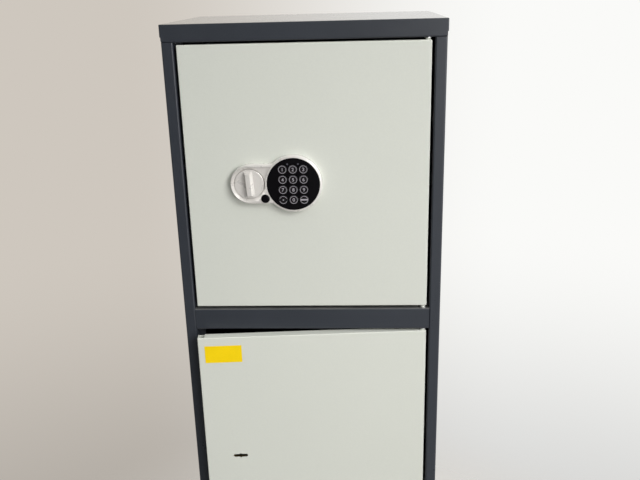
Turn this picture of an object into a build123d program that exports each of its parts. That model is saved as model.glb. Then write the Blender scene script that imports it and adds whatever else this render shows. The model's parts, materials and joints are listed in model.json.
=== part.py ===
from build123d import *
import math
import os

# A tall narrow steel cabinet with three lockable compartments, one above the other.
# Millimetres. X is to the right seen from the front, Y goes to the back and Z is up.
# The origin is the middle of the footprint, on the floor. Doors are hung on the right.

# Overall sizes, measured over the top cap
cabinet_w = 460.0
cabinet_d = 340.0
cabinet_h = 1520.0

# Sheets and bends
sheet = 1.2
door_sheet = 1.5
bend_r = 1.3          # inside radius of a fold
edge_r = 1.6          # rounding of the cap and of the doors
fit_gap = 0.3         # between separate pieces that slide over each other
run_gap = 0.05        # radial clearance of a pin or shaft in its hole
cut = 1.0             # how far a cutting body runs past the faces that it cuts

# Front frame
skirt_h = 20.0        # the cap's rim on the sides and back
head_face = 28.5
rail_face = 39.2
foot_face = 18.1
post_face = 19.1
rail_depth = 17.0
stop_lip = 12.0       # the lip that the doors close against

# Doors
door_depth = 17.0
gap_latch = 4.8
gap_hinge = 5.2
gap_over = 4.0
gap_under = 6.0
door_lip = 12.0       # rear lip of a door's edge
lip_relief = 12.0     # corner cut-out of a door's top and bottom edges
ajar_deg = 4.3        # the middle door stands ajar

# Hinges
pin_inset = 6.0       # from the door's right edge
pin_set_back = 7.0    # behind the door's front face
pin_r = 3.0
pin_reach = 7.0       # past the bush's collar
pin_collar = 0.9      # how far a pin's collar stands out
collar_inner_h = 3.0
bush_wall = 2.0
bush_rim = 1.2        # how far a bush's collar stands out
bush_collar_h = 1.0
bush_length = 8.0

# Door stops
bumper_r = 3.0
bumper_h = 2.0
bumper_gap = 0.4
bumper_inset = 60.0   # from a door's top and bottom

# Shelves and floors
fold_down = 15.0
shelf_inset = 1.5     # from each side wall
shelf_front_gap = 12.0
shelf_back_gap = 8.0
bracket_leg = 16.0
bracket_inset = 18.0  # from the shelf's front and back folds

# Anchor holes
anchor_r = 6.0
back_anchor_dx = 300.0
back_anchor_dz = 1100.0
base_anchor_dx = 340.0
base_anchor_dy = 220.0

# Bolt work, the same in every door
bolt_r = 5.5
bolt_chamfer = 1.1
bolt_travel = 15.0
bolt_half_pitch = 35.0
bolt_back_gap = 0.5      # from the bolts to the door's rear lip
plate_t = 3.0
plate_edge = 5.0         # the plate's height past the bolts
plate_column = 27.0
plate_front_gap = 1.5    # from the plate's folded end to the door's front sheet
plate_fold_over = 1.0    # the folded end's depth behind the bolts
bolt_hole_gap = 0.3
strike_gap = 1.0         # round a bolt in the post
case_sheet = 1.2
case_inset = 12.0        # from the door's left edge to the lock case
case_proud = 5.0         # behind the door's rear face
case_flange = 10.0

# Electronic lock on the upper door
lock_drop = 1.0          # below the middle of the door
knob_inset = 107.1       # from the door's left edge to the knob's axis
ring_r = 49.0
ring_rim = 4.5           # round the keypad
ring_web = 4.2           # between the knob's and the keypad's pockets
lobe_offset = 2.0        # from the knob's axis, as the offsets below
lobe_side = 6.3          # from the knob's pocket to the lobe's left side
bezel_h = 12.0
bezel_blend = 7.0
bezel_round = 3.8
rim_w = 4.0
rim_drop = 2.6
ring_lip = 2.6           # left round the keypad's pocket
dish_w = 5.0             # round the knob, sloping down to its pocket
disc_proud = 0.6
board_t = 1.5
pocket_floor = 3.0
key_columns = 3
key_rows = 4
key_r = 7.3
key_pitch_x = 17.6
key_pitch_z = 17.4
key_grid_lift = -0.6
key_proud = 0.7
key_travel = 1.0
key_gap = 0.3
lamp_r = 1.5
lamp_half_pitch = 8.9
lamp_lift = 34.5
knob_r = 25.2
knob_gap = 0.5
knob_sink = 0.4          # of the knob's plate below the field round it
knob_round = 1.2
grip_w = 15.0            # at its root
grip_proud = 9.0
grip_taper = 18.0        # of its four sides, in degrees
grip_corner = 2.0
grip_round = 1.2
grip_end_gap = 1.8       # between the grip's ends and the knob's rim
knob_tilt = 4.0
spindle_r = 4.0
spindle_grip = 6.0       # how far the spindle reaches into the knob
crank_r = 10.6
crank_disc_r = 14.0
crank_t = 3.0
crank_gap = 1.0          # behind the door's front sheet
crank_pin_r = 2.3
crank_slot_gap = 0.7
arm_half_h = 22.0
arm_end_offset = 17.5
plug_r = 7.3
plug_web_knob = 3.0      # between the plug's and the knob's pockets
plug_web_disc = 1.54     # between the plug's and the keypad's pockets
plug_h = 8.0
plug_proud = 1.5
barrel_r = 6.2
barrel_length = 22.0
keyway_w = 2.0
keyway_h = 7.4
barrel_gap = 4.6         # from the override barrel to the lock case's right wall
solenoid_offset = -34.5
solenoid_w = 24.0
solenoid_h = 14.0
solenoid_d = 12.0
plunger_r = 2.8
plunger_travel = 4.0
plunger_in = 10.0
notch_gap = 0.6
battery_r = 7.2
battery_length = 50.0
battery_count = 4
battery_box_offset = 83.5
battery_box_drop = 125.0

# Key locks on the middle and lower doors
keyhole_inset = 63.4     # from the door's left edge
keyhole_drop = 245.8     # below the door's top
keyhole_w = 27.0
keyhole_h = 6.4
keyhole_bulge_r = 4.4
guide_w = 38.0
guide_h = 16.0
key_case_offset = 45.0   # from the keyhole's middle to the case's right side
key_window_w = 40.0
key_window_h = 34.0

# Stiffeners and label
hat_w = 46.0
hat_depth = 14.0
hat_flange = 12.0
hat_sheet = 1.0
hat_insets = (143.3, 55.3)   # from the door's right edge
hat_end_gap = 3.0
label_w = 66.0
label_h = 33.0
label_t = 0.3
label_inset_x = 11.6
label_inset_z = 16.0

# Values that follow from the sizes above
doors = ("upper", "middle", "lower")
front = -cabinet_d / 2
back = cabinet_d / 2
half_w = cabinet_w / 2
wall_out = half_w - sheet - fit_gap
wall_in = wall_out - sheet
post_in = wall_out - post_face
cap_z = cabinet_h - sheet
head_z = cabinet_h - head_face
opening_h = (head_z - foot_face - (len(doors) - 1) * rail_face) / len(doors)
door_left = -post_in + gap_latch
door_right = post_in - gap_hinge
door_h = opening_h - gap_over - gap_under
door_rear = front + door_depth
pin_x = door_right - pin_inset
pin_y = front + pin_set_back
collar_r = pin_r + pin_collar
inner_collar_r = pin_inset - door_sheet - fit_gap
bush_r = pin_r + bush_wall
bush_collar_r = bush_r + bush_rim
stop_y = door_rear + bumper_gap + bumper_h
inside_y = stop_y + sheet
bolt_y = door_rear - door_sheet - bolt_back_gap - bolt_r
skin_in = front + door_sheet
case_back = door_rear + case_proud
plate_end = door_left + case_inset + case_sheet + bolt_travel + fit_gap
plate_half_h = bolt_half_pitch + bolt_r + plate_edge
disc_r = ring_r - ring_rim
lobe_r = knob_r + knob_gap + lobe_offset + lobe_side
dish_r = knob_r + knob_gap + dish_w
ring_offset = knob_r + knob_gap + ring_web + disc_r + fit_gap
plug_to_knob = plug_r + fit_gap + plug_web_knob + knob_r + knob_gap
plug_to_disc = plug_r + fit_gap + plug_web_disc + disc_r + fit_gap
plug_offset = (plug_to_knob ** 2 - plug_to_disc ** 2 + ring_offset ** 2) / (2 * ring_offset)
plug_drop = math.sqrt(plug_to_knob ** 2 - plug_offset ** 2)
knob_x = door_left + knob_inset
ring_x = knob_x + ring_offset
lobe_x = knob_x + lobe_offset
plug_x = knob_x + plug_offset
solenoid_x = knob_x + solenoid_offset
battery_box_x = knob_x + battery_box_offset
keyhole_x = door_left + keyhole_inset
bezel_front = front - bezel_h
board_y = front - pocket_floor
disc_back = board_y - board_t
disc_front = bezel_front - disc_proud


def door_top(index):
    return head_z - gap_over - index * (opening_h + rail_face)


def door_bottom(index):
    return door_top(index) - door_h


def opening_bottom(index):
    return door_bottom(index) - gap_under


def lock_z(index):
    # Height of a door's bolt work
    if index == 0:
        return door_top(0) - door_h / 2 - lock_drop
    return door_top(index) - keyhole_drop


def block(x0, x1, y0, y1, z0, z1):
    return Pos((x0 + x1) / 2, (y0 + y1) / 2, (z0 + z1) / 2) * Box(x1 - x0, y1 - y0, z1 - z0)


def rod_x(x0, x1, y, z, r):
    return Pos((x0 + x1) / 2, y, z) * Rot(0, 90, 0) * Cylinder(r, x1 - x0)


def rod_y(x, y0, y1, z, r):
    return Pos(x, (y0 + y1) / 2, z) * Rot(90, 0, 0) * Cylinder(r, y1 - y0)


def rod_z(x, y, z0, z1, r):
    return Pos(x, y, (z0 + z1) / 2) * Cylinder(r, z1 - z0)


def front_plane(y):
    # A sketch plane seen from the front: local X is X, local Y is Z, and extrusion goes forward
    return Plane(origin=(0, y, 0), x_dir=(1, 0, 0), z_dir=(0, -1, 0))


def side_plane(x):
    # A sketch plane with local X along Y and local Y along Z, and extrusion along X
    return Plane(origin=(x, 0, 0), x_dir=(0, 1, 0), z_dir=(1, 0, 0))


def folded(points, thickness, inner_r):
    # Profile of a folded sheet: its outer face follows the points and the metal lies to the left
    legs = [(Vector(b) - Vector(a)).normalized() for a, b in zip(points, points[1:])]
    lefts = [Vector(-d.Y, d.X) for d in legs]
    inner = [Vector(points[0]) + lefts[0] * thickness]
    outer_radii = []
    inner_radii = []
    for i in range(1, len(points) - 1):
        a, b = lefts[i - 1], lefts[i]
        inner.append(Vector(points[i]) + (a + b) * (thickness / (1 + a.dot(b))))
        inward = legs[i - 1].X * legs[i].Y - legs[i - 1].Y * legs[i].X > 0
        outer_radii.append(inner_r + thickness if inward else inner_r)
        inner_radii.append(inner_r if inward else inner_r + thickness)
    inner.append(Vector(points[-1]) + lefts[-1] * thickness)
    outside = FilletPolyline(*points, radius=outer_radii)
    inside = FilletPolyline(*inner, radius=inner_radii)
    ends = [Line(points[0], inner[0]), Line(points[-1], inner[-1])]
    return make_face(Curve() + [outside, inside] + ends)


def bolt_heights(index):
    return [lock_z(index) - bolt_half_pitch, lock_z(index) + bolt_half_pitch]


def post(ends):
    # Left side wall, front post and its return in one folded sheet; ends are the return's last points
    points = [(-wall_out, back - sheet), (-wall_out, front), (-post_in, front)] + ends
    profile = Plane.XY.offset(foot_face) * folded(points, sheet, bend_r)
    wall = extrude(profile, amount=head_z - foot_face)
    return wall + block(-wall_out, -wall_in, front + sheet + bend_r, back - sheet, 0, cap_z)


def left_side():
    # Its return carries the lip that the doors close against, and holes that take the bolts
    wall = post([(-post_in, stop_y), (-post_in + stop_lip, stop_y)])
    for index in range(len(doors)):
        for z in bolt_heights(index):
            wall -= rod_x(-post_in - 2 * sheet, -post_in + sheet, bolt_y, z, bolt_r + strike_gap)
    return wall


def right_side():
    return mirror(post([(-post_in, inside_y)]), about=Plane.YZ)


def back_panel():
    panel = block(-wall_out, wall_out, back - sheet, back, 0, cabinet_h - skirt_h)
    for x in (-back_anchor_dx / 2, back_anchor_dx / 2):
        for z in (cabinet_h / 2 - back_anchor_dz / 2, cabinet_h / 2 + back_anchor_dz / 2):
            panel -= rod_y(x, back - 2 * sheet, back + sheet, z, anchor_r)
    return panel


def bush_hole(z):
    return rod_z(pin_x, pin_y, z - 2 * sheet, z + 2 * sheet, bush_r + run_gap)


def top_cap():
    rim = block(-half_w, half_w, front, back, cabinet_h - skirt_h, cabinet_h)
    rim = fillet(rim.edges().filter_by(Axis.Z) + rim.faces().sort_by(Axis.Z)[-1].edges(), edge_r)
    lid = rim - block(-half_w + sheet, half_w - sheet, front + sheet, back - sheet, 0, cap_z)
    band = [(front + rail_depth, head_z), (front, head_z), (front, cabinet_h - skirt_h)]
    turned = folded([(x, y) for x, y in reversed(band)], sheet, bend_r)
    lid += extrude(side_plane(-wall_in + fit_gap) * turned, amount=2 * (wall_in - fit_gap))
    band_low = head_z + sheet + bend_r
    lid += block(-wall_out, wall_out, front, front + sheet, band_low, cabinet_h - skirt_h + sheet)
    return lid - bush_hole(head_z)


def base_pan():
    points = [(front + rail_depth, foot_face), (front, foot_face), (front, 0), (back - sheet, 0)]
    pan = extrude(side_plane(-wall_in) * folded(points, sheet, bend_r), amount=2 * wall_in)
    low, high = sheet + bend_r, foot_face - sheet - bend_r
    pan += block(-wall_out, wall_out, front, front + sheet, low, high)
    for x in (-base_anchor_dx / 2, base_anchor_dx / 2):
        for y in (-base_anchor_dy / 2, base_anchor_dy / 2):
            pan -= rod_z(x, y, -sheet, 2 * sheet, anchor_r)
    return pan - bush_hole(foot_face)


def mid_rail(index):
    # The channel under door number index
    top = opening_bottom(index)
    low = top - rail_face
    points = [(inside_y, top), (front, top), (front, low), (inside_y, low)]
    rail = extrude(side_plane(-post_in) * folded(points, sheet, bend_r), amount=2 * post_in)
    notch_y = stop_y - bend_r - fit_gap
    notch = block(-post_in - cut, -post_in + stop_lip + fit_gap, notch_y, back, low - cut, top + cut)
    return rail - notch - bush_hole(top) - bush_hole(low)


def folded_shelf(half, y0, y1, top):
    # A sheet with its front and back edges folded down
    points = [(y1, top - fold_down), (y1, top), (y0, top), (y0, top - fold_down)]
    return extrude(side_plane(-half) * folded(points, sheet, bend_r), amount=2 * half)


def compartment_floor(index):
    return folded_shelf(wall_in, inside_y, back - sheet, opening_bottom(index))


def shelf_top(index):
    return opening_bottom(index) + opening_h / 2


def shelf(index):
    y0 = inside_y + shelf_front_gap
    y1 = back - sheet - shelf_back_gap
    return folded_shelf(wall_in - shelf_inset, y0, y1, shelf_top(index))


def shelf_brackets():
    y0 = inside_y + shelf_front_gap + bracket_inset
    y1 = back - sheet - shelf_back_gap - bracket_inset
    brackets = []
    for index in range(len(doors)):
        seat = shelf_top(index) - sheet
        left = block(-wall_in, -wall_in + sheet, y0, y1, seat - bracket_leg, seat)
        left += block(-wall_in, -wall_in + bracket_leg, y0, y1, seat - sheet, seat)
        brackets += [left, mirror(left, about=Plane.YZ)]
    return brackets


def hinge_bushes():
    # A collared bush above and below each door
    bushes = []
    for index in range(len(doors)):
        for z, way in ((door_top(index) + gap_over, 1), (opening_bottom(index), -1)):
            low, high = sorted((z, z + way * (bush_length - bush_collar_h)))
            bush = rod_z(pin_x, pin_y, low, high, bush_r)
            low, high = sorted((z, z - way * bush_collar_h))
            bush += rod_z(pin_x, pin_y, low, high, bush_collar_r)
            bushes.append(bush - rod_z(pin_x, pin_y, z - bush_length, z + bush_length, pin_r + run_gap))
    return bushes


def door_bumpers():
    x = door_left + bumper_r
    bumpers = []
    for index in range(len(doors)):
        for z in (door_bottom(index) + bumper_inset, door_top(index) - bumper_inset):
            bumpers.append(rod_y(x, stop_y - bumper_h, stop_y, z, bumper_r))
    return bumpers


def door_pan(index):
    # Front sheet with four edges turned back, and lips at their rear
    top, low = door_top(index), door_bottom(index)
    pan = block(door_left, door_right, front, door_rear, low, top)
    face = pan.faces().sort_by(Axis.Y)[0]
    pan = fillet(face.edges() + pan.edges().filter_by(Axis.Y), edge_r)
    t = door_sheet
    pan -= block(door_left + t, door_right - t, front + t, door_rear - t, low + t, top - t)
    rim = door_lip
    pan -= block(door_left + rim, door_right - rim, door_rear - 2 * t, door_rear, low + rim, top - rim)
    for z in (low, top):
        relief = block(door_left - t, door_left + lip_relief, front + 2 * t, door_rear + t, z - t, z + t)
        pan -= relief
        pan -= rod_z(pin_x, pin_y, z - 2 * t, z + 2 * t, pin_r + run_gap)
    for z in bolt_heights(index):
        pan -= rod_x(door_left - t, door_left + 2 * t, bolt_y, z, bolt_r + bolt_hole_gap)
    return pan


def upper_door_skin():
    pan = door_pan(0)
    z = lock_z(0)
    pan -= rod_y(knob_x, front - cut, skin_in + cut, z, spindle_r + run_gap)
    pan -= rod_y(plug_x, front - cut, skin_in + cut, z - plug_drop, barrel_r + fit_gap)
    return pan


def keyhole(y0, y1, z):
    # Horizontal slot with round ends and a round middle
    rise = keyhole_h / 2
    reach = keyhole_w / 2 - rise
    slot = block(keyhole_x - reach, keyhole_x + reach, y0, y1, z - rise, z + rise)
    for x, r in ((keyhole_x - reach, rise), (keyhole_x, keyhole_bulge_r), (keyhole_x + reach, rise)):
        slot += rod_y(x, y0, y1, z, r)
    return slot


def key_door_skin(index):
    return door_pan(index) - keyhole(front - cut, skin_in + cut, lock_z(index))


def door_stiffeners(index):
    # Upright hat channels spot-welded behind the door's front sheet
    low = door_bottom(index) + door_sheet + hat_end_gap
    high = door_top(index) - door_sheet - hat_end_gap
    hats = []
    for inset in hat_insets:
        a, b = door_right - inset - hat_w / 2, door_right - inset + hat_w / 2
        y0, y1 = skin_in, skin_in + hat_depth
        hat = block(a - hat_flange, a + hat_sheet, y0, y0 + hat_sheet, low, high)
        hat += block(a, a + hat_sheet, y0, y1, low, high)
        hat += block(a, b, y1 - hat_sheet, y1, low, high)
        hat += block(b - hat_sheet, b, y0, y1, low, high)
        hat += block(b - hat_sheet, b + hat_flange, y0, y0 + hat_sheet, low, high)
        hats.append(hat)
    return hats


def door_pins(index):
    # Each pin has a collar on both sides of the door's edge
    pins = []
    for z, way, gap in ((door_top(index), 1, gap_over), (door_bottom(index), -1, gap_under)):
        outer = gap - bush_collar_h - fit_gap
        spans = [(-door_sheet - collar_inner_h, gap + pin_reach, pin_r)]
        spans += [(0, outer, collar_r), (-door_sheet - collar_inner_h, -door_sheet, inner_collar_r)]
        pin = None
        for a, b, r in spans:
            low, high = sorted((z + way * a, z + way * b))
            piece = rod_z(pin_x, pin_y, low, high, r)
            pin = piece if pin is None else pin + piece
        pins.append(pin)
    return pins


def lock_case(index, right):
    # Tray screwed behind the door's front sheet, open towards it
    z = lock_z(index)
    left = door_left + case_inset
    t = case_sheet
    half = plate_half_h + fit_gap + t
    tray = block(left, right, skin_in, case_back, z - half, z + half)
    tray -= block(left + t, right - t, skin_in - t, case_back - t, z - half + t, z + half - t)
    for low in (z - half - case_flange, z + half):
        tray += block(left, right, skin_in, skin_in + t, low, low + case_flange)
    for bolt in bolt_heights(index):
        tray -= rod_x(left - t, left + 2 * t, bolt_y, bolt, bolt_r + bolt_hole_gap)
    return tray


def bolt_plate(index):
    # Sliding plate with a folded end that the bolts are riveted to
    z = lock_z(index)
    y0, y1 = bolt_y - plate_t / 2, bolt_y + plate_t / 2
    x0 = plate_end
    plate = block(
        x0, x0 + plate_t, skin_in + plate_front_gap, bolt_y + bolt_r + plate_fold_over,
        z - plate_half_h, z + plate_half_h)
    plate += block(x0, x0 + plate_column, y0, y1, z - plate_half_h, z + plate_half_h)
    if index == 0:
        plate += block(x0, knob_x + arm_end_offset, y0, y1, z - arm_half_h, z + arm_half_h)
        return plate - crank_slot() - plunger_notches()
    right = keyhole_x + key_case_offset - case_sheet - fit_gap
    plate += block(x0, right, y0, y1, z - plate_half_h, z + plate_half_h)
    window = block(
        keyhole_x - key_window_w / 2, keyhole_x + key_window_w / 2,
        y0 - cut, y1 + cut, z - key_window_h / 2, z + key_window_h / 2)
    return plate - window


def crank_slot():
    # Upright slot that the crank's pin pushes; the pin starts on the right and ends on the left
    z = lock_z(0)
    x = knob_x + crank_r * math.sin(math.pi / 4)
    half = crank_pin_r + crank_slot_gap
    low = z + crank_r * math.cos(math.pi / 4) - half
    high = z + crank_r + half
    return block(x - half, x + half, bolt_y - plate_t, bolt_y + plate_t, low, high)


def plunger_notches():
    # The plunger can drop into one notch with the bolts back and into the other with them out
    z = lock_z(0) - arm_half_h
    half = plunger_r + notch_gap
    first = block(
        solenoid_x - half, solenoid_x + half,
        bolt_y - plate_t, bolt_y + plate_t, z - cut, z + plunger_travel)
    return first + Pos(bolt_travel, 0, 0) * first


def bolts(index):
    # Drawn back, the bolts' ends lie inside the door's left edge
    x0 = door_left + fit_gap
    rods = []
    for z in bolt_heights(index):
        rod = rod_x(x0, plate_end, bolt_y, z, bolt_r)
        rods.append(chamfer(rod.faces().sort_by(Axis.X)[0].edges(), bolt_chamfer))
    return rods


def lock_outline():
    # Large ring for the keypad and a smaller lobe for the knob, bridged by straight edges
    shape = Pos(ring_x, 0) * Circle(ring_r) + Pos(lobe_x, 0) * Circle(lobe_r)
    bridge = ring_x - lobe_x
    shape += Pos(lobe_x + bridge / 2, 0) * Rectangle(bridge, 2 * lobe_r)
    corners = [v for v in shape.vertices() if lobe_x + cut < v.X < ring_x]
    return fillet(corners, bezel_blend)


def knob_field():
    # Lowered field over the knob, between the top rim and the keypad's lip
    inner = lobe_r - rim_w
    reach = ring_x - lobe_x
    field = Pos(lobe_x, 0) * Circle(inner) - Pos(lobe_x, -inner / 2) * Rectangle(2 * inner, inner)
    field += Pos(lobe_x + reach / 2, inner / 2) * Rectangle(reach, inner)
    shape = extrude(front_plane(bezel_front + rim_drop) * field, amount=rim_drop + cut)
    return shape - keypad_lip()


def knob_dish():
    # Sloping ring that leads down to the knob's pocket
    depth = dish_w
    dish = Cone(dish_r + cut, dish_r - depth, depth + cut)
    middle = bezel_front + (depth - cut) / 2
    return Pos(knob_x, middle, 0) * Rot(-90, 0, 0) * dish - keypad_lip()


def keypad_lip():
    return rod_y(ring_x, bezel_front - 2 * cut, board_y, 0, disc_r + fit_gap + ring_lip)


def at_lock(shape):
    return Pos(0, 0, lock_z(0)) * shape


def lock_bezel():
    body = extrude(front_plane(front) * lock_outline(), amount=bezel_h)
    body = fillet(body.faces().sort_by(Axis.Y)[0].edges(), bezel_round)
    body -= knob_field()
    body -= knob_dish()
    body -= rod_y(ring_x, bezel_front - cut, board_y, 0, disc_r + fit_gap)
    body -= rod_y(knob_x, bezel_front - cut, board_y, 0, knob_r + knob_gap)
    body -= rod_y(knob_x, board_y - cut, front + cut, 0, spindle_r + run_gap)
    body -= rod_y(plug_x, bezel_front - cut, front + cut, -plug_drop, plug_r + fit_gap)
    return at_lock(body)


def key_places():
    # Twelve keys in four rows, named by their figures; the two outer keys below clear and confirm
    names = ("1", "2", "3", "4", "5", "6", "7", "8", "9", "clear", "0", "confirm")
    places = {}
    for number, name in enumerate(names):
        row, column = divmod(number, key_columns)
        x = ring_x + (column - (key_columns - 1) / 2) * key_pitch_x
        z = key_grid_lift + ((key_rows - 1) / 2 - row) * key_pitch_z
        places[name] = (x, z)
    return places


def lamp_places():
    return [(ring_x - lamp_half_pitch, lamp_lift), (ring_x + lamp_half_pitch, lamp_lift)]


def keypad_face():
    disc = rod_y(ring_x, disc_front, disc_back, 0, disc_r)
    disc = fillet(disc.faces().sort_by(Axis.Y)[0].edges(), disc_proud)
    for x, z in key_places().values():
        disc -= rod_y(x, disc_front - cut, disc_back + cut, z, key_r + key_gap)
    for x, z in lamp_places():
        disc -= rod_y(x, disc_front - cut, disc_back + cut, z, lamp_r + run_gap)
    return at_lock(disc)


def key_cap(place):
    x, z = place
    cap = rod_y(x, disc_front - key_proud, disc_back - key_travel - fit_gap, z, key_r)
    return at_lock(fillet(cap.faces().sort_by(Axis.Y)[0].edges(), key_proud))


def keypad_board():
    return at_lock(rod_y(ring_x, disc_back, board_y, 0, disc_r - fit_gap))


def indicator_lamps():
    return [at_lock(rod_y(x, disc_front, disc_back, z, lamp_r)) for x, z in lamp_places()]


def lock_knob():
    y_back = board_y - knob_gap
    y_face = bezel_front + rim_drop + knob_sink
    plate = rod_y(0, y_face, y_back, 0, knob_r)
    plate = fillet(plate.faces().sort_by(Axis.Y)[0].edges(), knob_round)
    half = math.sqrt(knob_r ** 2 - (grip_w / 2) ** 2) - grip_end_gap
    root = front_plane(y_face + cut) * RectangleRounded(grip_w, 2 * half, grip_corner)
    grip = extrude(root, amount=grip_proud + cut, taper=grip_taper)
    grip = fillet(grip.faces().sort_by(Axis.Y)[0].edges(), grip_round)
    knob = plate + grip
    knob -= rod_y(0, y_back - spindle_grip, y_back + cut, 0, spindle_r + run_gap)
    return at_lock(Pos(knob_x, 0, 0) * Rot(0, -knob_tilt, 0) * knob)


def knob_spindle():
    # Shaft, crank disc and crank pin, turned from one piece
    y_crank = skin_in + crank_gap
    shaft = rod_y(knob_x, board_y - knob_gap - spindle_grip, y_crank, 0, spindle_r)
    shaft += rod_y(knob_x, y_crank, y_crank + crank_t, 0, crank_disc_r)
    x = knob_x + crank_r * math.sin(math.pi / 4)
    z = crank_r * math.cos(math.pi / 4)
    shaft += rod_y(x, y_crank + crank_t, bolt_y + plate_t, z, crank_pin_r)
    return at_lock(shaft)


def lock_cover_plug():
    # Push-in plug over the override lock
    cap = rod_y(plug_x, bezel_front - plug_proud, bezel_front - plug_proud + plug_h, -plug_drop, plug_r)
    return at_lock(fillet(cap.faces().sort_by(Axis.Y)[0].edges(), plug_proud))


def override_barrel():
    y0 = bezel_front - plug_proud + plug_h + fit_gap
    barrel = rod_y(plug_x, y0, y0 + barrel_length, -plug_drop, barrel_r)
    slot = block(
        plug_x - keyway_w / 2, plug_x + keyway_w / 2, y0 - cut, y0 + barrel_length / 2,
        -plug_drop - keyway_h / 2, -plug_drop + keyway_h / 2)
    return at_lock(barrel - slot)


def solenoid_top():
    return -arm_half_h - plunger_travel - notch_gap


def solenoid_coil():
    high = solenoid_top()
    coil = block(
        solenoid_x - solenoid_w / 2, solenoid_x + solenoid_w / 2,
        bolt_y - solenoid_d / 2, case_back - case_sheet, high - solenoid_h, high)
    coil -= rod_z(solenoid_x, bolt_y, high - plunger_in - notch_gap, high + cut, plunger_r + run_gap)
    return at_lock(coil)


def solenoid_plunger():
    high = solenoid_top() + plunger_travel - notch_gap
    return at_lock(rod_z(solenoid_x, bolt_y, solenoid_top() - plunger_in, high, plunger_r))


def battery_spots():
    pitch = 2 * battery_r + fit_gap
    first = battery_box_x - pitch * (battery_count - 1) / 2
    return [first + pitch * i for i in range(battery_count)]


def battery_box():
    spots = battery_spots()
    t = case_sheet
    x0 = spots[0] - battery_r - fit_gap - t
    x1 = spots[-1] + battery_r + fit_gap + t
    half = battery_length / 2 + fit_gap + t
    depth = 2 * battery_r + 2 * fit_gap + t
    box = block(x0, x1, skin_in, skin_in + depth, -half, half)
    box -= block(x0 + t, x1 - t, skin_in + t, skin_in + depth + t, t - half, half - t)
    return Pos(0, 0, lock_z(0) - battery_box_drop) * box


def batteries():
    y = skin_in + case_sheet + fit_gap + battery_r
    z = lock_z(0) - battery_box_drop
    half = battery_length / 2
    return [rod_z(x, y, z - half, z + half, battery_r) for x in battery_spots()]


def key_guide(index):
    # Block behind the keyhole that steers the key into the lock
    z = lock_z(index)
    y1 = bolt_y - plate_t / 2 - fit_gap
    side, rise = guide_w / 2, guide_h / 2
    guide = block(keyhole_x - side, keyhole_x + side, skin_in, y1, z - rise, z + rise)
    return guide - keyhole(skin_in - cut, y1 + cut, z)


def door_label():
    x0 = door_left + label_inset_x
    z1 = door_top(1) - label_inset_z
    return block(x0, x0 + label_w, front - label_t, front, z1 - label_h, z1)


def swung(shape):
    # The middle door and all that it carries stand ajar
    return Pos(pin_x, pin_y, 0) * Rot(0, 0, ajar_deg) * Pos(-pin_x, -pin_y, 0) * shape


def carcass():
    return {
        "left_side": left_side(),
        "right_side": right_side(),
        "back_panel": back_panel(),
        "top_cap": top_cap(),
        "base_pan": base_pan(),
        "upper_mid_rail": mid_rail(0),
        "lower_mid_rail": mid_rail(1),
        "upper_floor": compartment_floor(0),
        "lower_floor": compartment_floor(1),
        "upper_shelf": shelf(0),
        "middle_shelf": shelf(1),
        "lower_shelf": shelf(2),
        "shelf_brackets": shelf_brackets(),
        "hinge_bushes": hinge_bushes(),
        "door_bumpers": door_bumpers(),
    }


def electronic_lock():
    nodes = {
        "lock_bezel": lock_bezel(),
        "keypad_face": keypad_face(),
        "keypad_board": keypad_board(),
        "indicator_lamps": indicator_lamps(),
        "lock_knob": lock_knob(),
        "knob_spindle": knob_spindle(),
        "lock_cover_plug": lock_cover_plug(),
        "override_barrel": override_barrel(),
        "solenoid_coil": solenoid_coil(),
        "solenoid_plunger": solenoid_plunger(),
        "battery_box": battery_box(),
        "batteries": batteries(),
    }
    for name, place in key_places().items():
        nodes["key_" + name] = key_cap(place)
    return nodes


def door_nodes(index):
    name = doors[index]
    nodes = {
        name + "_door_stiffeners": door_stiffeners(index),
        name + "_door_pins": door_pins(index),
        name + "_bolt_plate": bolt_plate(index),
        name + "_bolts": bolts(index),
    }
    if index == 0:
        nodes[name + "_door_skin"] = upper_door_skin()
        nodes[name + "_lock_case"] = lock_case(index, plug_x + barrel_r + barrel_gap + case_sheet)
        return nodes | electronic_lock()
    nodes[name + "_door_skin"] = key_door_skin(index)
    nodes[name + "_lock_case"] = lock_case(index, keyhole_x + key_case_offset)
    nodes[name + "_key_guide"] = key_guide(index)
    return nodes


def write(name, shape):
    # A list is a group of like pieces in one node
    export_step(Compound(children=shape) if isinstance(shape, list) else shape, f"parts/{name}.step")


os.makedirs("parts", exist_ok=True)
for node, solid in carcass().items():
    write(node, solid)
for number in range(len(doors)):
    pieces = door_nodes(number)
    if number == 1:
        pieces["door_label"] = door_label()
    for node, solid in pieces.items():
        if number == 1:
            solid = [swung(s) for s in solid] if isinstance(solid, list) else swung(solid)
        write(node, solid)
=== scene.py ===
import bpy
import bmesh
import json
import math
from mathutils import Matrix, Vector


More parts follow.
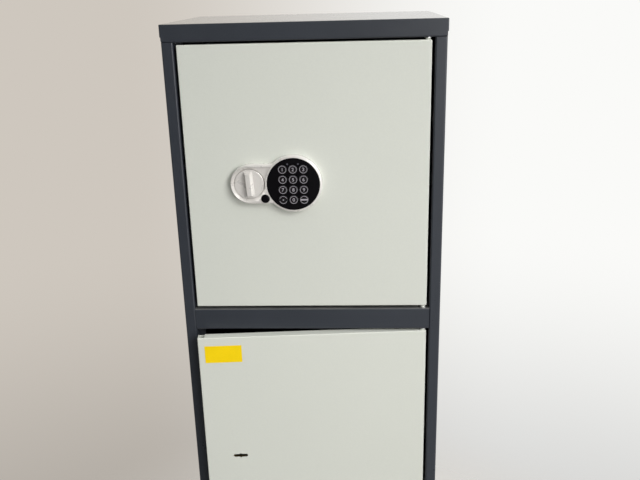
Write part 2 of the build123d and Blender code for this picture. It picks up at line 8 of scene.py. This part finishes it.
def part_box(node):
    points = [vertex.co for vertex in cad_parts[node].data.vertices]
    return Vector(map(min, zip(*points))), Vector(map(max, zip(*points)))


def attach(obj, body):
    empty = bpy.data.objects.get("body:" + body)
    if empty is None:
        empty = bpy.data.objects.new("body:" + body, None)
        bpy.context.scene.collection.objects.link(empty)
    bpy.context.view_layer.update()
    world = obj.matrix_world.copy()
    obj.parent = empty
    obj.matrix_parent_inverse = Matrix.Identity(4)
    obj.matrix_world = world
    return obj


# Looks of the accounting safe cabinet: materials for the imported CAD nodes, the print on the keypad's
# keys, floor, backdrop, lights and camera. Lengths are in metres. The scale of a noise or cell texture
# counts its cells per metre, so 1000 is a grain of 1 mm.
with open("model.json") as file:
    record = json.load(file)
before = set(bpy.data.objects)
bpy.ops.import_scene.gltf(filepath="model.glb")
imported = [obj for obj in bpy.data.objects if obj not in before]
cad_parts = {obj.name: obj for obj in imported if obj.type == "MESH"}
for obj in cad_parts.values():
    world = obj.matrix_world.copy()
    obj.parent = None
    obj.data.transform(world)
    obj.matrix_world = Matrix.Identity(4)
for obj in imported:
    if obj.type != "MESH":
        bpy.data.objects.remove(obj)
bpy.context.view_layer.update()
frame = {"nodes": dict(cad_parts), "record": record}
nodes = frame["nodes"]

# The photograph's frame, in pixels, and the camera that was fitted to it
IMAGE_W = 640
FOCAL_PX = 748.7
SENSOR = 36.0
CAMERA_AT = (0.084, -1.394, 1.570)
YAW, PITCH, ROLL = (math.radians(a) for a in (-3.048, 18.654, -1.5))

# A noise texture's usual range, over which colour and roughness drift
NOISE_LOW, NOISE_HIGH = 0.25, 0.75
# The upward part of a face's normal from which it starts to count as lying, and counts in full
LYING_FROM, LYING_FULL = 0.5, 0.98
# Height above the floor over which the frame's scuffs fade out
SCUFFS_FULL, SCUFFS_END = 0.003, 0.05


def linear(r, g, b):
    # A colour as a screen shows it, 0 to 255, in Blender's linear light
    out = []
    for c in (r, g, b):
        c /= 255
        out.append(c / 12.92 if c <= 0.04045 else ((c + 0.055) / 1.055) ** 2.4)
    return out


def add_object(name, data):
    obj = bpy.data.objects.new(name, data)
    bpy.context.scene.collection.objects.link(obj)
    return obj


class Graph:
    """Helpers for the nodes of a material or a world."""

    def __init__(self, owner):
        owner.use_nodes = True
        self.tree = owner.node_tree
        self.tree.nodes.clear()

    def feed(self, source, socket):
        # Links a node's output to the socket, or sets a fixed number or colour on it
        if isinstance(source, bpy.types.NodeSocket):
            self.tree.links.new(source, socket)
        elif isinstance(source, (int, float)):
            socket.default_value = source
        elif len(source) < len(socket.default_value):
            socket.default_value = (*source, 1)
        else:
            socket.default_value = source

    def node(self, kind, inputs=None, **settings):
        # A new node with its settings, and what feeds its inputs
        n = self.tree.nodes.new(kind)
        for key, value in settings.items():
            setattr(n, key, value)
        for key, source in (inputs or {}).items():
            self.feed(source, n.inputs[key])
        return n

    def ranged(self, value, low, high, to_low, to_high, smooth=False):
        # Carries low..high over to to_low..to_high, and holds the ends beyond
        n = self.node("ShaderNodeMapRange", {
            "From Min": low, "From Max": high, "To Min": to_low, "To Max": to_high, "Value": value,
        }, interpolation_type="SMOOTHSTEP" if smooth else "LINEAR")
        return n.outputs["Result"]

    def calc(self, operation, a, b):
        return self.node("ShaderNodeMath", {0: a, 1: b}, operation=operation).outputs["Value"]

    def split(self, vector):
        return self.node("ShaderNodeSeparateXYZ", {"Vector": vector}).outputs

    def scaled(self, color, factor):
        n = self.node("ShaderNodeVectorMath", operation="SCALE")
        self.feed(color, n.inputs[0])
        self.feed(factor, n.inputs["Scale"])
        return n.outputs["Vector"]

    def mix(self, factor, a, b, kind="RGBA"):
        n = self.node("ShaderNodeMix", {"Factor": factor, "A": a, "B": b}, data_type=kind)
        return n.outputs["Result"]

    def mix_shaders(self, factor, a, b):
        return self.node("ShaderNodeMixShader", {"Fac": factor, 1: a, 2: b}).outputs["Shader"]


class Look(Graph):
    """A material with one Principled shader, and helpers for what varies over its surface."""

    def __init__(self, name, color, rough, metallic=0.0, **sockets):
        self.mat = bpy.data.materials.new(name)
        super().__init__(self.mat)
        self.out = self.node("ShaderNodeOutputMaterial")
        self.bsdf = self.node("ShaderNodeBsdfPrincipled", {
            "Base Color": color, "Roughness": rough, "Metallic": metallic,
            **{key.replace("_", " "): value for key, value in sockets.items()}})
        self.feed(self.bsdf.outputs["BSDF"], self.out.inputs["Surface"])
        self.base = color
        self.normal = None
        self.coord = None

    def object_coord(self, stretch=None):
        if self.coord is None:
            self.coord = self.node("ShaderNodeTexCoord").outputs["Object"]
        if stretch is None:
            return self.coord
        return self.node("ShaderNodeMapping", {"Scale": stretch, "Vector": self.coord}).outputs["Vector"]

    def noise(self, scale, detail, roughness=0.5, stretch=None, distortion=0.0):
        n = self.node("ShaderNodeTexNoise", {
            "Scale": scale, "Detail": detail, "Roughness": roughness, "Distortion": distortion,
            "Vector": self.object_coord(stretch)})
        return n.outputs["Fac"]

    def cells(self, scale, feature="F1"):
        n = self.node("ShaderNodeTexVoronoi", feature=feature)
        self.feed(scale, n.inputs["Scale"])
        self.feed(self.object_coord(), n.inputs["Vector"])
        return n.outputs["Distance"]

    def height(self):
        return self.split(self.object_coord())["Z"]

    def facing_up(self):
        # 1 on faces that look up, 0 on walls
        normal = self.node("ShaderNodeNewGeometry").outputs["True Normal"]
        return self.ranged(self.split(normal)["Z"], LYING_FROM, LYING_FULL, 0, 1)

    def set_base(self, output):
        self.base = output
        self.feed(output, self.bsdf.inputs["Base Color"])

    def tint(self, factor, color):
        # Mixes the base colour towards another one where factor is 1
        self.set_base(self.mix(factor, self.base, color))

    def vary(self, value, amount):
        # Light and dark drift of the base colour round its own value
        drift = self.ranged(value, NOISE_LOW, NOISE_HIGH, 1 - amount, 1 + amount)
        self.set_base(self.scaled(self.base, drift))

    def roughness(self, value, low, high):
        self.feed(self.ranged(value, NOISE_LOW, NOISE_HIGH, low, high), self.bsdf.inputs["Roughness"])

    def bump(self, height, distance, strength):
        # Each bump adds to the ones before it
        n = self.node("ShaderNodeBump", {"Strength": strength, "Distance": distance, "Height": height})
        if self.normal is not None:
            self.feed(self.normal, n.inputs["Normal"])
        self.normal = n.outputs["Normal"]
        self.feed(self.normal, self.bsdf.inputs["Normal"])


def frame_paint():
    # Graphite powder coat with a fine leathery texture. Its lying faces carry dust, made paler as a
    # painted reflection of the bright wall seen at a grazing angle, and a glare, which is the clear coat
    # there, and it is scuffed near the floor.
    m = Look("frame_paint", linear(52, 56, 63), 0.32,
             Specular_IOR_Level=0.4, Coat_Roughness=0.16, Coat_IOR=1.6)
    m.vary(m.noise(7, 4), 0.07)
    m.vary(m.noise(900, 1), 0.10)
    up = m.facing_up()
    m.feed(m.ranged(up, 0, 1, 0.05, 0.95), m.bsdf.inputs["Coat Weight"])
    # Pale tint on lying faces: partly dust, partly a painted reflection of the bright wall that brightens
    # the top
    dust_and_painted_reflection = m.ranged(m.noise(26, 5, 0.65), 0.38, 0.76, 0.16, 0.28)
    m.tint(m.calc("MULTIPLY", up, dust_and_painted_reflection), linear(205, 202, 195))
    low = m.ranged(m.height(), SCUFFS_FULL, SCUFFS_END, 1, 0, smooth=True)
    scuffs = m.ranged(m.noise(60, 6, 0.7, stretch=(1, 1, 3.5)), 0.56, 0.72, 0, 0.5)
    m.tint(m.calc("MULTIPLY", low, scuffs), linear(112, 111, 108))
    m.roughness(m.noise(40, 3), 0.27, 0.36)
    m.bump(m.noise(650, 2, 0.6), 0.00014, 0.22)
    m.bump(m.cells(1500), 0.00008, 0.15)
    return m.mat


def door_paint():
    # Light warm grey powder coat, smoother than the frame's, with patches of faint specks
    m = Look("door_paint", linear(213, 216, 208), 0.46, Specular_IOR_Level=0.4)
    m.vary(m.noise(3.2, 3), 0.012)
    m.vary(m.noise(420, 2), 0.014)
    specks = m.ranged(m.cells(95), 0.0, 0.035, 1, 0)
    patches = m.ranged(m.noise(11, 2), 0.52, 0.62, 0, 0.16)
    m.tint(m.calc("MULTIPLY", specks, patches), linear(150, 148, 138))
    m.roughness(m.noise(30, 3), 0.42, 0.52)
    m.bump(m.noise(480, 2, 0.55), 0.00018, 0.30)
    return m.mat


def plated_steel():
    # Bright zinc with a faint spangle and rubbed streaks
    m = Look("plated_steel", (0.66, 0.67, 0.68), 0.3, 1.0)
    m.vary(m.cells(160), 0.04)
    m.tint(m.ranged(m.noise(45, 5, 0.7), 0.50, 0.75, 0, 0.18), (0.42, 0.42, 0.40))
    m.roughness(m.noise(260, 3, stretch=(1, 1, 0.15)), 0.28, 0.38)
    m.bump(m.noise(700, 2, stretch=(1, 1, 0.12)), 0.00006, 0.3)
    return m.mat


def silver_plastic():
    # Silver paint on moulded plastic: fine metal flakes under a thin clear coat
    m = Look("silver_plastic", linear(226, 223, 219), 0.29, 0.18,
             Coat_Weight=0.9, Coat_Roughness=0.14, Coat_IOR=1.8)
    m.vary(m.cells(2600), 0.04)
    m.vary(m.noise(25, 3), 0.03)
    m.roughness(m.noise(90, 3), 0.25, 0.34)
    m.bump(m.noise(1800, 1), 0.00002, 0.15)
    return m.mat


def black_gloss():
    # The keypad's glossy black face: tiny flecks, and smudges in its gloss
    m = Look("black_gloss", linear(5, 4, 8), 0.12, Specular_IOR_Level=0.25)
    m.tint(m.ranged(m.cells(900), 0.0, 0.10, 0.15, 0), linear(56, 54, 78))
    m.roughness(m.noise(70, 4, 0.6, distortion=0.6), 0.08, 0.20)
    m.bump(m.noise(240, 2), 0.00004, 0.2)
    return m.mat


def key_plastic():
    # Black keys, less glossy than the face round them
    m = Look("key_plastic", linear(7, 6, 10), 0.33, Specular_IOR_Level=0.22)
    m.vary(m.noise(700, 2), 0.25)
    m.roughness(m.noise(220, 3), 0.26, 0.42)
    m.bump(m.noise(1500, 1), 0.00005, 0.25)
    return m.mat


def rubber():
    # Moulded rubber with a trace of dust
    m = Look("rubber", linear(24, 24, 24), 0.78)
    m.vary(m.noise(300, 3), 0.18)
    m.tint(m.ranged(m.noise(90, 4), 0.5, 0.75, 0, 0.18), linear(92, 90, 86))
    m.roughness(m.noise(160, 2), 0.7, 0.86)
    m.bump(m.noise(1200, 2), 0.0001, 0.35)
    return m.mat


def brass():
    # Drawn brass, tarnished in places
    m = Look("brass", (0.56, 0.41, 0.19), 0.34, 1.0)
    m.vary(m.noise(60, 4), 0.10)
    m.tint(m.ranged(m.noise(120, 5, 0.7), 0.56, 0.76, 0, 0.4), (0.42, 0.30, 0.15))
    m.roughness(m.noise(400, 3, stretch=(0.1, 1, 1)), 0.28, 0.42)
    m.bump(m.noise(1400, 1, stretch=(0.08, 1, 1)), 0.00005, 0.3)
    return m.mat


def label_film():
    # Yellow self-adhesive film with slight unevenness of the glue under it
    m = Look("label_film", linear(249, 214, 10), 0.38, Specular_IOR_Level=0.3)
    m.vary(m.noise(28, 3), 0.04)
    m.vary(m.noise(900, 2), 0.03)
    m.roughness(m.noise(60, 3), 0.32, 0.46)
    m.bump(m.noise(110, 3, 0.6), 0.00025, 0.25)
    return m.mat


def circuit_board():
    # Green solder mask over a web of tracks
    m = Look("circuit_board", (0.03, 0.17, 0.08), 0.35)
    m.tint(m.ranged(m.cells(420, "DISTANCE_TO_EDGE"), 0.02, 0.05, 0.6, 0), (0.08, 0.30, 0.14))
    m.roughness(m.noise(200, 2), 0.28, 0.44)
    m.bump(m.cells(420, "DISTANCE_TO_EDGE"), 0.00008, 0.4)
    return m.mat


def lamp_lens():
    # Smoky clear plastic of the two small lamps, unlit
    m = Look("lamp_lens", linear(74, 74, 82), 0.2, Coat_Weight=0.5, Coat_Roughness=0.06)
    m.vary(m.noise(1500, 2), 0.2)
    m.roughness(m.noise(900, 2), 0.14, 0.3)
    m.bump(m.noise(2000, 1), 0.00003, 0.2)
    return m.mat


def battery_sleeve():
    # Printed film sleeve with pale bands
    m = Look("battery_sleeve", (0.22, 0.24, 0.27), 0.3, Coat_Weight=0.3, Coat_Roughness=0.1)
    m.vary(m.noise(35, 3), 0.08)
    m.tint(m.ranged(m.noise(14, 2, stretch=(1, 1, 6)), 0.48, 0.52, 0, 0.55), (0.55, 0.52, 0.42))
    m.roughness(m.noise(180, 2), 0.24, 0.4)
    m.bump(m.noise(800, 1), 0.00004, 0.25)
    return m.mat


def key_print():
    # Grey ink of the rings and figures, a little uneven
    m = Look("key_print", linear(176, 172, 180), 0.5)
    m.vary(m.noise(1600, 3), 0.14)
    m.roughness(m.noise(500, 2), 0.42, 0.58)
    m.bump(m.noise(2400, 1), 0.00002, 0.2)
    return m.mat


# Each look is named after its function, and so are the record's material slots
looks = {make.__name__: make() for make in (
    frame_paint, door_paint, plated_steel, silver_plastic, black_gloss, key_plastic, rubber, brass,
    label_film, circuit_board, lamp_lens, battery_sleeve, key_print)}
slots = {p["node"]: p["material_slot"] for p in frame["record"]["subparts"]}
for name, obj in nodes.items():
    obj.data.materials.clear()
    obj.data.materials.append(looks[slots[name]])


# The print on the key caps: a ring with a figure in it, a dot between two arcs, or a bar in a ring. It
# stands proud of the cap by PRINT_FRONT and starts just under the cap's surface.
KEY_PREFIX = "key_"
PRINT_FRONT, PRINT_BACK = -0.00004, 0.00002
RING_OUT = 0.0065
RING_IN = 0.0058
RING_STEPS = 64
DOT_R = 0.0011
DOT_STEPS = 24
BAR_HALF = 0.0012
SIDE_ARCS = (20, 200)
SIDE_ARC_SWEEP = 140
FULL_TURN = 360
FIGURE_H = 0.0056
FONT_FIGURE_H = 0.70
FIGURE_BOLDER = 0.00008
FIGURE_STEPS = 6
MERGE_WITHIN = 1e-7
BOX_FACES = ((0, 1, 2, 3), (7, 6, 5, 4), (0, 4, 5, 1), (1, 5, 6, 2), (2, 6, 7, 3), (3, 7, 4, 0))


def print_arc(bm, inner, outer, start, sweep, steps):
    # A flat arc in the X-Z plane as thick as the print, closed to a ring by a full turn
    closed = sweep == FULL_TURN
    rows = []
    for i in range(steps if closed else steps + 1):
        a = math.radians(start + sweep * i / steps)
        rows.append([bm.verts.new((r * math.cos(a), y, r * math.sin(a))) for r, y in (
            (inner, PRINT_BACK), (inner, PRINT_FRONT), (outer, PRINT_FRONT), (outer, PRINT_BACK))])
    for a, b in zip(rows, rows[1:] + rows[:1] if closed else rows[1:]):
        for i in range(4):
            j = (i + 1) % 4
            bm.faces.new((a[i], a[j], b[j], b[i]))
    if not closed:
        bm.faces.new(rows[0])
        bm.faces.new(list(reversed(rows[-1])))


def print_bar(bm):
    # A level bar that reaches from side to side of the ring
    reach = math.sqrt(RING_IN ** 2 - BAR_HALF ** 2)
    verts = [bm.verts.new((x, y, z)) for y in (PRINT_BACK, PRINT_FRONT) for x, z in (
        (-reach, -BAR_HALF), (reach, -BAR_HALF), (reach, BAR_HALF), (-reach, BAR_HALF))]
    for quad in BOX_FACES:
        bm.faces.new([verts[i] for i in quad])


def print_figure(bm, text):
    # A figure from the built-in plain font, as thick as the print
    curve = bpy.data.curves.new("figure", "FONT")
    curve.body = text
    curve.size = FIGURE_H / FONT_FIGURE_H
    curve.align_x = "CENTER"
    curve.align_y = "CENTER"
    curve.resolution_u = FIGURE_STEPS
    curve.extrude = (PRINT_BACK - PRINT_FRONT) / 2
    curve.offset = FIGURE_BOLDER
    obj = add_object("figure", curve)
    bpy.context.view_layer.update()
    mesh = bpy.data.meshes.new_from_object(obj.evaluated_get(bpy.context.evaluated_depsgraph_get()))
    mesh.transform(Matrix.Rotation(math.radians(90), 4, "X"))
    xs = [v.co.x for v in mesh.vertices]
    zs = [v.co.z for v in mesh.vertices]
    mesh.transform(Matrix.Translation((
        -(min(xs) + max(xs)) / 2, (PRINT_FRONT + PRINT_BACK) / 2, -(min(zs) + max(zs)) / 2)))
    bm.from_mesh(mesh)
    bpy.data.objects.remove(obj)
    bpy.data.curves.remove(curve)
    bpy.data.meshes.remove(mesh)


def legend(key):
    bm = bmesh.new()
    if key == "clear":
        for start in SIDE_ARCS:
            print_arc(bm, RING_IN, RING_OUT, start, SIDE_ARC_SWEEP, RING_STEPS)
        print_arc(bm, 0.0, DOT_R, 0, FULL_TURN, DOT_STEPS)
    else:
        print_arc(bm, RING_IN, RING_OUT, 0, FULL_TURN, RING_STEPS)
        if key == "confirm":
            print_bar(bm)
        else:
            print_figure(bm, key)
    bmesh.ops.remove_doubles(bm, verts=bm.verts, dist=MERGE_WITHIN)
    bmesh.ops.recalc_face_normals(bm, faces=bm.faces)
    mesh = bpy.data.meshes.new("legend_" + key)
    bm.to_mesh(mesh)
    bm.free()
    low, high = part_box(KEY_PREFIX + key)
    middle = (low + high) / 2
    mesh.transform(Matrix.Translation((middle.x, low.y, middle.z)))
    obj = add_object("legend_" + key, mesh)
    obj.data.materials.append(looks["key_print"])
    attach(obj, KEY_PREFIX + key + "_cap")


for name in nodes:
    if name.startswith(KEY_PREFIX):
        legend(name.removeprefix(KEY_PREFIX))


# Floor: it keeps the cabinet's shadow near its foot and fades into the backdrop
FLOOR_HALF = 3.0
FLOOR_CORNERS = ((-1, -1), (1, -1), (1, 1), (-1, 1))
FLOOR_FADES, FLOOR_GONE = 0.45, 1.15

floor_mesh = bpy.data.meshes.new("floor")
floor_mesh.from_pydata([(x * FLOOR_HALF, y * FLOOR_HALF, 0) for x, y in FLOOR_CORNERS], [], [(0, 1, 2, 3)])
floor = add_object("floor", floor_mesh)
m = Look("floor", linear(216, 211, 204), 0.7)
m.vary(m.noise(1.5, 3), 0.01)
radius = m.node("ShaderNodeVectorMath", {0: m.object_coord()}, operation="LENGTH").outputs["Value"]
fade = m.ranged(radius, FLOOR_FADES, FLOOR_GONE, 0, 1, smooth=True)
clear = m.node("ShaderNodeBsdfTransparent").outputs["BSDF"]
m.feed(m.mix_shaders(fade, m.bsdf.outputs["BSDF"], clear), m.out.inputs["Surface"])
floor.data.materials.append(m.mat)


# World: the camera sees a plain gradient, warm grey on the left and near white on the right, that
# darkens towards the floor: painted light and shade of a pale wall lit from the right. Reflections see the
# same wall behind the cabinet and a dimmer room in front of it. Light on surfaces comes from a soft sky.
WALL_LEFT = linear(206, 199, 190)
WALL_RIGHT = linear(250, 250, 248)
WALL_HIGH, WALL_LOW = 1, 0.65
ROOM_LEFT, ROOM_RIGHT = 0.05, 1.0
SKY_COLOR = (1.0, 1.0, 0.985)
SKY_BELOW, SKY_ABOVE = 0.14, 0.42
SKY_ZENITH = 0.65
SKY_LEFT, SKY_RIGHT = 0.65, 1.1
# The ramps between them: an axis, and that part of the direction looked in where the ramp starts and ends
WALL_ACROSS = ("X", -0.3, 0.2)
WALL_DOWN = ("Z", -0.3, -0.7)
ROOM_ACROSS = ("X", -0.4, 0.6)
IN_FRONT = ("Y", 0.10, -0.25)
SKY_ACROSS = ("X", -0.8, 0.6)
OVER_HORIZON = ("Z", -0.25, 0.25)
TO_ZENITH = ("Z", 0.35, 0.95)

world = bpy.data.worlds.new("studio")
bpy.context.scene.world = world
sky = Graph(world)
direction = sky.split(sky.node("ShaderNodeTexCoord").outputs["Generated"])


def ramp(span, start, end):
    axis, low, high = span
    return sky.ranged(direction[axis], low, high, start, end, smooth=True)


def background(color, strength):
    return sky.node("ShaderNodeBackground", {"Color": color, "Strength": strength}).outputs["Background"]


wall = sky.scaled(
    sky.mix(ramp(WALL_ACROSS, 0, 1), WALL_LEFT, WALL_RIGHT), ramp(WALL_DOWN, WALL_HIGH, WALL_LOW))
reflected = sky.mix(ramp(IN_FRONT, 0, 1), 1.0, ramp(ROOM_ACROSS, ROOM_LEFT, ROOM_RIGHT), "FLOAT")
sky_light = sky.calc(
    "MULTIPLY",
    sky.calc("ADD", ramp(OVER_HORIZON, SKY_BELOW, SKY_ABOVE), ramp(TO_ZENITH, 0, SKY_ZENITH)),
    ramp(SKY_ACROSS, SKY_LEFT, SKY_RIGHT))
rays = sky.node("ShaderNodeLightPath").outputs
shiny = sky.calc("MAXIMUM", rays["Is Glossy Ray"], rays["Is Transmission Ray"])
seen = sky.mix_shaders(rays["Is Camera Ray"], background(SKY_COLOR, sky_light), background(wall, 1.0))
seen = sky.mix_shaders(shiny, seen, background(wall, reflected))
sky.node("ShaderNodeOutputWorld", {"Surface": seen})


def panel_light(name, at, towards, side, watts, color=(1, 1, 1), spread=180):
    # A square soft light of the given side
    data = bpy.data.lights.new(name, "AREA")
    data.shape = "RECTANGLE"
    data.size = data.size_y = side
    data.energy = watts
    data.color = color
    data.spread = math.radians(spread)
    obj = add_object(name, data)
    obj.location = at
    obj.rotation_mode = "QUATERNION"
    obj.rotation_quaternion = (Vector(towards) - Vector(at)).to_track_quat("-Z", "Y")
    return obj


panel_light("window", at=(3.0, -3.0, 3.6), towards=(0, -0.1, 0.9), side=1.8, watts=115,
            color=(1.0, 0.995, 0.98))
panel_light("room", at=(1.1, -2.0, 1.35), towards=(0.05, -0.17, 1.03), side=1.2, watts=2.85,
            color=(1.0, 0.975, 0.955), spread=60)
back_fill = panel_light("back_fill", at=(-1.2, 2.6, 2.0), towards=(0, 0.1, 0.8), side=1.6, watts=30)
back_fill.visible_glossy = False

camera_data = bpy.data.cameras.new("camera")
camera = add_object("camera", camera_data)
bpy.context.scene.camera = camera
camera_data.sensor_width = SENSOR
camera_data.lens = FOCAL_PX / IMAGE_W * SENSOR
forward = Vector((math.sin(YAW) * math.cos(PITCH), math.cos(YAW) * math.cos(PITCH), -math.sin(PITCH)))
right = Vector((math.cos(YAW), -math.sin(YAW), 0))
down = forward.cross(right)
rolled_right = right * math.cos(ROLL) - down * math.sin(ROLL)
rolled_down = right * math.sin(ROLL) + down * math.cos(ROLL)
turn = Matrix((rolled_right, -rolled_down, -forward)).transposed()
camera.matrix_world = Matrix.Translation(CAMERA_AT) @ turn.to_4x4()

bpy.context.scene.view_settings.view_transform = "Standard"
